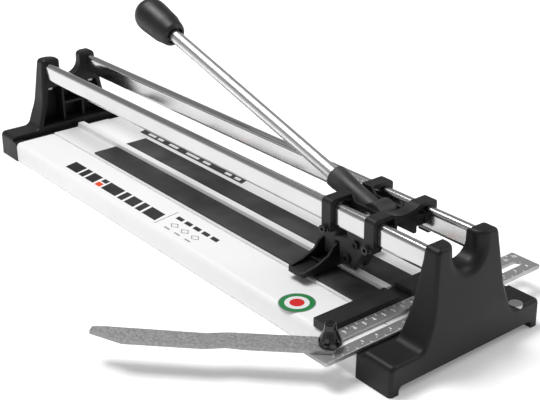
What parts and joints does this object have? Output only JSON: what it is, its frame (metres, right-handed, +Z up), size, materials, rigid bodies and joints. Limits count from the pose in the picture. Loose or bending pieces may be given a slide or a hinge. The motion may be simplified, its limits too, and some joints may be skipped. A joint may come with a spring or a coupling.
{
  "type": "tile cutter",
  "caption": "Manual tile cutter: flat ribbed deck, two end towers, twin rails, sliding carriage with lever, scoring wheel and breaker foot, ruler and swinging angle stop.",
  "frame": {"origin": "on the ground under the cutting line, half way along the machine", "axes": "+X along the cutting line towards the ruler end, +Z up, -Y towards the side with the angle stop"},
  "size_m": [0.61, 0.3427, 0.1949],
  "materials": {
    "white_coat": "smooth white powder coat",
    "rubber": "matt grey rubber",
    "black_plastic": "moulded satin plastic",
    "steel": "bright zinc-plated steel",
    "black_steel": "black oxide steel",
    "chrome": "polished chrome plate",
    "black_coat": "black powder coat",
    "aluminium": "anodised, etched scale",
    "nylon": "natural nylon",
    "cast_grey": "dark grey coated casting",
    "grip_plastic": "soft black satin",
    "zinc": "grainy galvanised sheet",
    "gloss_black": "glossy black moulding",
    "orange_print": "printed film",
    "green_print": "printed film"
  },
  "bodies": {
    "frame": {"base_profile": "white_coat", "centre_strip": "rubber", "foot_pads": "rubber", "front_bracket": "black_plastic", "rear_bracket": "black_plastic", "bracket_screws": "steel", "rail_screws": "steel", "rail_plugs": "steel", "near_rail": "chrome", "far_rail": "chrome", "near_strip": "rubber", "far_strip": "rubber", "fence_slab": "black_coat", "fence_screws": "steel", "ruler_bar": "aluminium", "ruler_screws": "steel", "ruler_stud": "black_steel", "shoulder_stud": "steel"},
    "carriage": {"carriage_frame": "black_coat", "claw_screws": "black_steel", "slide_pads": "nylon", "pivot_pin": "steel", "pivot_clips": "steel"},
    "lever": {"lever_casting": "cast_grey", "lever_tube": "chrome", "lever_grip": "grip_plastic", "tube_screw": "black_steel", "wheel_axle": "steel", "axle_nut": "steel", "fork_bolt": "steel", "foot_pin": "steel"},
    "cutting_wheel": {"scoring_wheel": "steel"},
    "breaker": {"breaker_foot": "cast_grey"},
    "stop_slider": {"clamp_bolt": "steel"},
    "stop_arm": {"swing_arm": "zinc", "clamp_washer": "steel"},
    "stop_knob": {"clamp_knob": "gloss_black", "knob_insert": "steel"}
  },
  "joints": [
    {"name": "carriage_slide", "type": "slide", "parent": "frame", "child": "carriage", "axis": [1, 0, 0], "range_m": [-0.405, 0.043]},
    {"name": "lever_lift", "type": "hinge", "parent": "carriage", "child": "lever", "pos_m": [0.207, 0, 0.085], "axis": [0, 1, 0], "range_deg": [0, 24]},
    {"name": "wheel_spin", "type": "hinge", "parent": "lever", "child": "cutting_wheel", "pos_m": [0.179, 0, 0.0385], "axis": [0, 1, 0], "continuous": true},
    {"name": "breaker_tilt", "type": "hinge", "parent": "lever", "child": "breaker", "pos_m": [0.157, 0, 0.042], "axis": [1, 0, 0], "range_deg": [-3, 3]},
    {"name": "stop_slide", "type": "slide", "parent": "frame", "child": "stop_slider", "axis": [0, 1, 0], "range_m": [-0.0032, 0.003]},
    {"name": "arm_swing", "type": "hinge", "parent": "stop_slider", "child": "stop_arm", "pos_m": [0.2545, -0.0925, 0.0235], "axis": [0, 0, 1], "range_deg": [-45, 90]},
    {"name": "knob_turn", "type": "hinge", "parent": "stop_slider", "child": "stop_knob", "pos_m": [0.2545, -0.0925, 0.0275], "axis": [0, 0, 1], "range_deg": [0, 180]}
  ]
}
